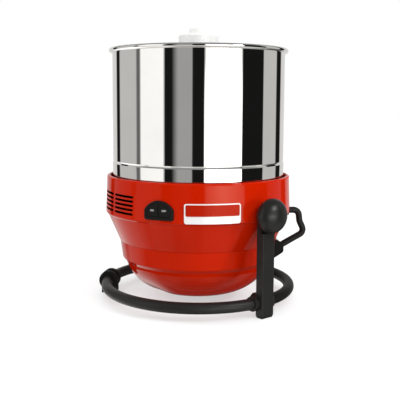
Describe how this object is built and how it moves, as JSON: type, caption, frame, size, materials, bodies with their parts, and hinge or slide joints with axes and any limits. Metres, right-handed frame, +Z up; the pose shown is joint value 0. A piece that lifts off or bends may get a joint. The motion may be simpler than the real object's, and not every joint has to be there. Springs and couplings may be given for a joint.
{
  "type": "chocolate melanger",
  "caption": "Table-top stone grinder with a polished steel drum on a glossy red bowl-shaped motor base, hung between two posts on a black floor ring so that it tilts to pour.",
  "frame": {"origin": "on the floor, under the middle of the floor ring and the drum axis", "axes": "+Z up along the drum axis; X along the tilt axis through the two lock knobs; -Y is the side the drum pours to"},
  "size_m": [0.3138, 0.2642, 0.3607],
  "materials": {
    "housing_red": "gloss",
    "stand_black": "matte",
    "handle_black": "satin",
    "knob_black": "matte",
    "rubber_black": "matte",
    "switch_black": "satin",
    "inner_plastic": "matte",
    "badge_white": "gloss",
    "white_plastic": "satin",
    "drum_steel": "polished",
    "granite": "satin",
    "machined_steel": "satin",
    "zinc_screws": "satin",
    "chassis_steel": "satin",
    "cast_aluminium": "satin",
    "stator_steel": "satin"
  },
  "bodies": {
    "stand": {"ring_tube_front": "stand_black", "ring_tube_rear": "stand_black", "post_right": "stand_black", "post_left": "stand_black", "post_foot_right": "rubber_black", "post_foot_left": "rubber_black", "ring_sleeve_front": "rubber_black", "ring_sleeve_rear": "rubber_black", "pivot_bushes": "inner_plastic"},
    "base_unit": {"upper_housing": "housing_red", "lower_housing": "housing_red", "bottom_cover": "inner_plastic", "tie_bolts": "zinc_screws", "switch_bezel": "switch_black", "switch_body": "inner_plastic", "badge_plate": "badge_white", "badge_panel": "housing_red", "handle_rod": "handle_black", "handle_bracket": "knob_black", "handle_screws": "zinc_screws", "cord_gland": "knob_black", "chassis_plate": "chassis_steel", "pivot_brackets": "chassis_steel", "pivot_studs": "machined_steel", "pivot_nuts": "machined_steel", "chassis_screws": "zinc_screws", "center_shaft": "machined_steel", "shaft_nut": "machined_steel", "bearing_inner_rings": "machined_steel", "drive_belt": "rubber_black", "motor_end_bells": "cast_aluminium", "motor_stator": "stator_steel", "run_capacitor": "inner_plastic", "tension_spring": "machined_steel"},
    "drum": {"drum_shell": "drum_steel", "granite_base": "granite", "center_tube": "drum_steel", "drum_coupling": "cast_aluminium", "drive_pulley": "cast_aluminium", "bearing_outer_rings": "machined_steel", "bearing_balls": "machined_steel"},
    "rotor": {"motor_rotor": "machined_steel", "motor_pulley": "cast_aluminium", "cooling_fan": "inner_plastic"},
    "roller_assembly": {"roller_holder": "white_plastic", "roller_axles": "drum_steel", "axle_nuts": "drum_steel"},
    "right_roller": {"roller_stone_right": "granite", "roller_bush_right": "white_plastic"},
    "left_roller": {"roller_stone_left": "granite", "roller_bush_left": "white_plastic"},
    "tension_cap": {"spring_cap": "machined_steel"},
    "tension_screw": {"tension_knob": "white_plastic"},
    "right_washer": {"lock_washer_right": "machined_steel"},
    "right_lock": {"lock_knob_right": "knob_black"},
    "left_washer": {"lock_washer_left": "machined_steel"},
    "left_lock": {"lock_knob_left": "knob_black"},
    "on_key": {"on_button": "switch_black"},
    "off_key": {"off_button": "switch_black"}
  },
  "joints": [
    {"name": "tilt", "type": "hinge", "parent": "stand", "child": "base_unit", "pos_m": [0, 0, 0.129], "axis": [1, 0, 0], "range_deg": [0, 80]},
    {"name": "drum_spin", "type": "hinge", "parent": "base_unit", "child": "drum", "pos_m": [0, 0, 0.1565], "axis": [0, 0, 1], "continuous": true},
    {"name": "motor_spin", "type": "hinge", "parent": "base_unit", "child": "rotor", "pos_m": [0, 0.06, 0.093], "axis": [0, 0, 1], "continuous": true},
    {"name": "roller_lift", "type": "slide", "parent": "base_unit", "child": "roller_assembly", "axis": [0, 0, 1], "range_m": [0, 0.008], "stiffness_N_per_m": 2000, "springref_m": -0.01, "deforming": ["tension_spring"]},
    {"name": "right_roller_spin", "type": "hinge", "parent": "roller_assembly", "child": "right_roller", "pos_m": [0.065, 0, 0.217], "axis": [1, 0, 0], "continuous": true},
    {"name": "left_roller_spin", "type": "hinge", "parent": "roller_assembly", "child": "left_roller", "pos_m": [-0.065, 0, 0.217], "axis": [-1, 0, 0], "continuous": true},
    {"name": "tension_travel", "type": "slide", "parent": "base_unit", "child": "tension_cap", "axis": [0, 0, 1], "range_m": [0, 0.004]},
    {"name": "tension_turn", "type": "hinge", "parent": "tension_cap", "child": "tension_screw", "pos_m": [0, 0, 0.338], "axis": [0, 0, 1], "range_deg": [0, 720]},
    {"name": "right_lock_travel", "type": "slide", "parent": "base_unit", "child": "right_washer", "axis": [1, 0, 0], "range_m": [0, 0.0015]},
    {"name": "right_lock_turn", "type": "hinge", "parent": "right_washer", "child": "right_lock", "pos_m": [0.1416, 0, 0.129], "axis": [1, 0, 0], "range_deg": [0, 360]},
    {"name": "left_lock_travel", "type": "slide", "parent": "base_unit", "child": "left_washer", "axis": [-1, 0, 0], "range_m": [0, 0.0015]},
    {"name": "left_lock_turn", "type": "hinge", "parent": "left_washer", "child": "left_lock", "pos_m": [-0.1416, 0, 0.129], "axis": [-1, 0, 0], "range_deg": [0, 360]},
    {"name": "on_press", "type": "slide", "parent": "base_unit", "child": "on_key", "axis": [-0.4749, 0.8801, 0], "range_m": [0, 0.0025], "stiffness_N_per_m": 400},
    {"name": "off_press", "type": "slide", "parent": "base_unit", "child": "off_key", "axis": [-0.4749, 0.8801, 0], "range_m": [0, 0.0025], "stiffness_N_per_m": 400}
  ],
  "couplings": [
    {"joint": "motor_spin", "follows": "drum_spin", "ratio": 8},
    {"joint": "right_roller_spin", "follows": "drum_spin", "ratio": 1.9288},
    {"joint": "left_roller_spin", "follows": "drum_spin", "ratio": 1.9288},
    {"joint": "tension_travel", "follows": "tension_turn", "m_per_rad": 0.00031831},
    {"joint": "right_lock_travel", "follows": "right_lock_turn", "m_per_rad": 0.00023873},
    {"joint": "left_lock_travel", "follows": "left_lock_turn", "m_per_rad": 0.00023873}
  ]
}
